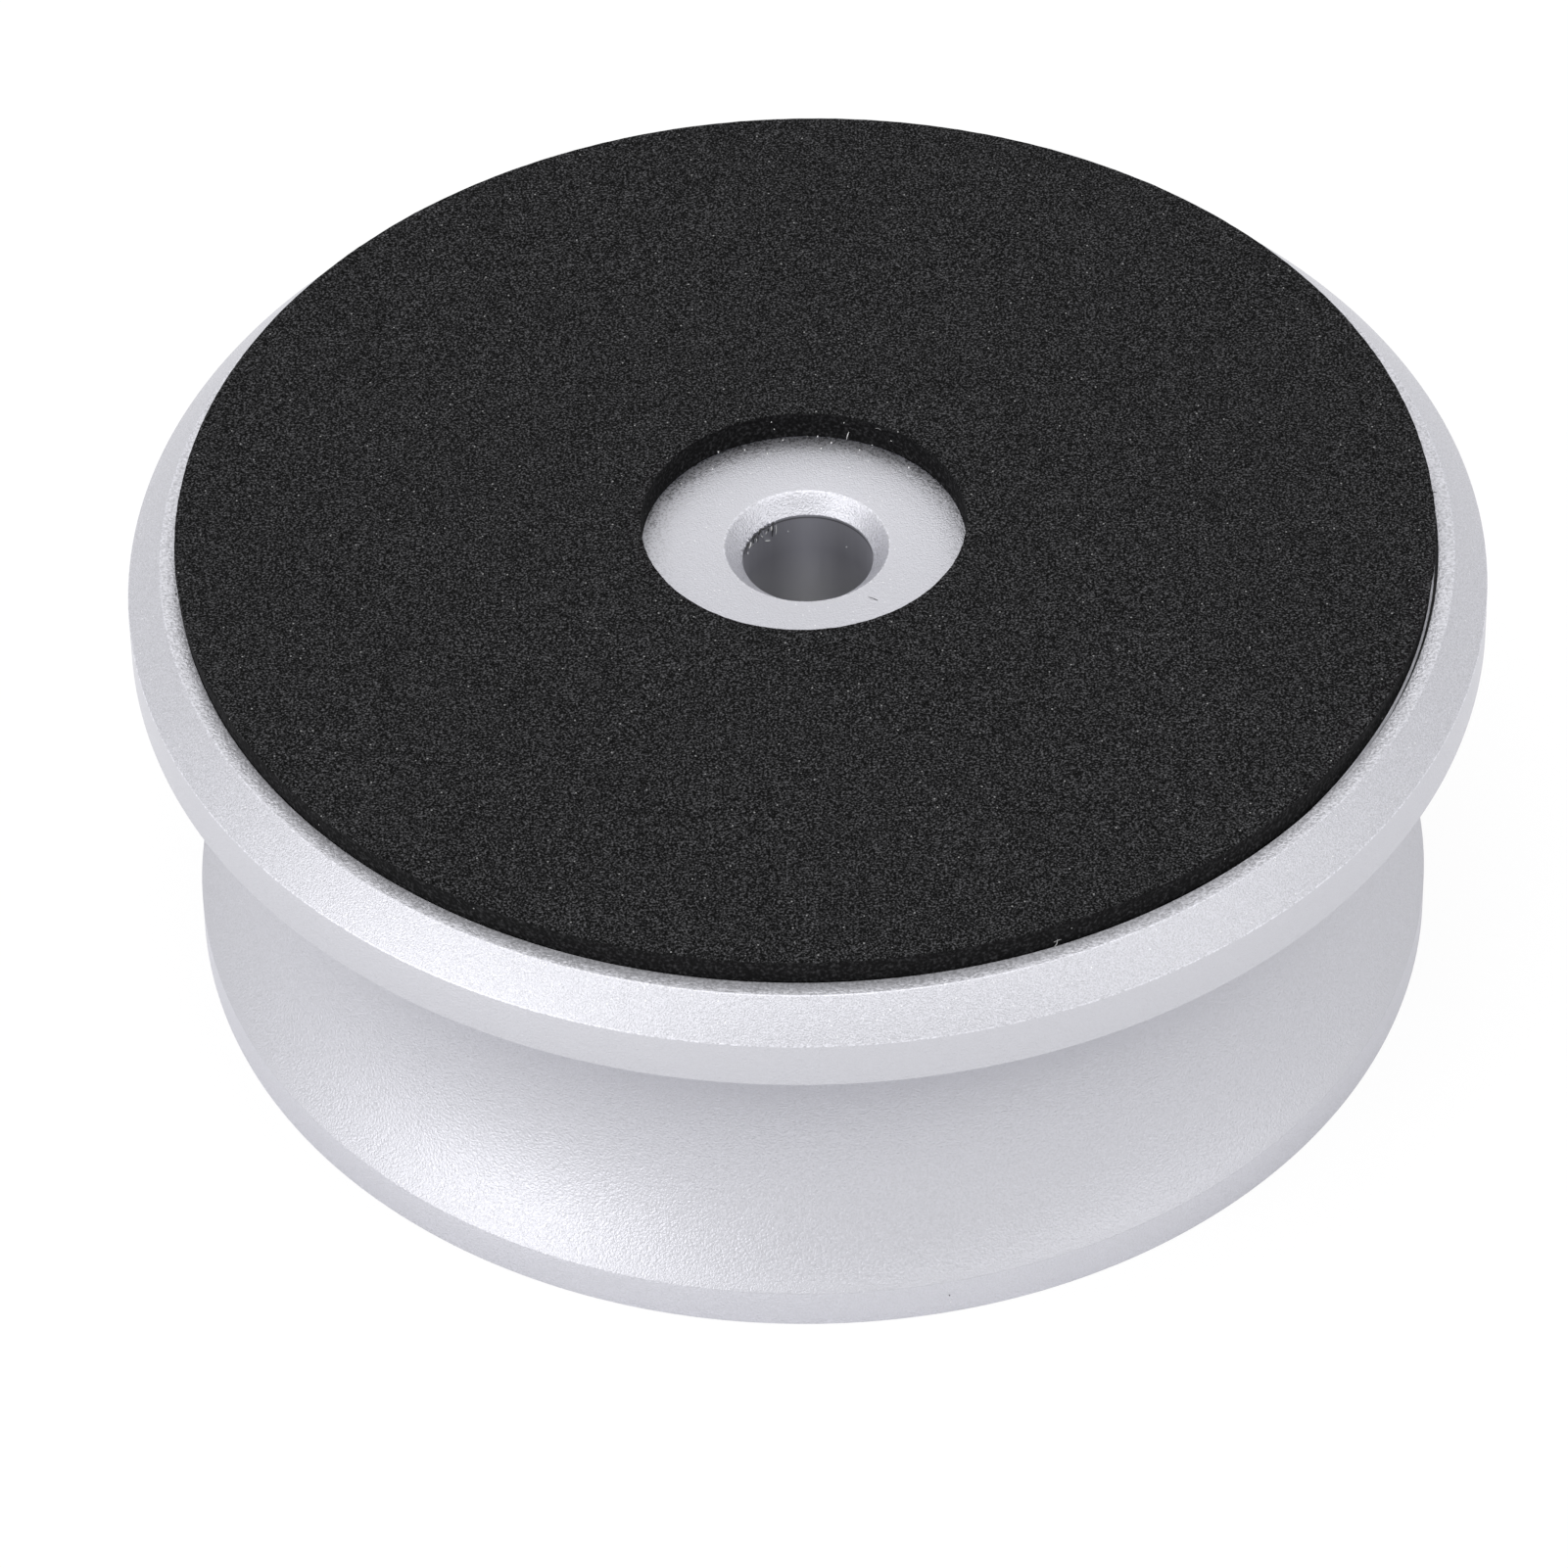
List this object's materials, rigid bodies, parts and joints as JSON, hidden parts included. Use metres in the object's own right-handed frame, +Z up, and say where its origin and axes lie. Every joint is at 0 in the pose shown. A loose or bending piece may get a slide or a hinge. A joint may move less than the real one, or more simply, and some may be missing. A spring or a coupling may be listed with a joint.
{
  "type": "record weight",
  "caption": "Turned aluminium record weight with a concave waist, a blind spindle bore and a black foam contact pad, lying pad side up.",
  "frame": {"origin": "on the turning axis, in the plane of the flat face that the weight stands on", "axes": "+Z up along the turning axis, towards the foam pad"},
  "size_m": [0.076, 0.076, 0.028],
  "materials": {
    "anodised_aluminium": "bead-blasted, clear anodised, satin",
    "adhesive": "translucent double-sided film",
    "foam": "matt closed-cell foam with a fine grain"
  },
  "bodies": {
    "root": {"weight_body": "anodised_aluminium", "adhesive_film": "adhesive", "foam_pad": "foam"}
  },
  "joints": []
}
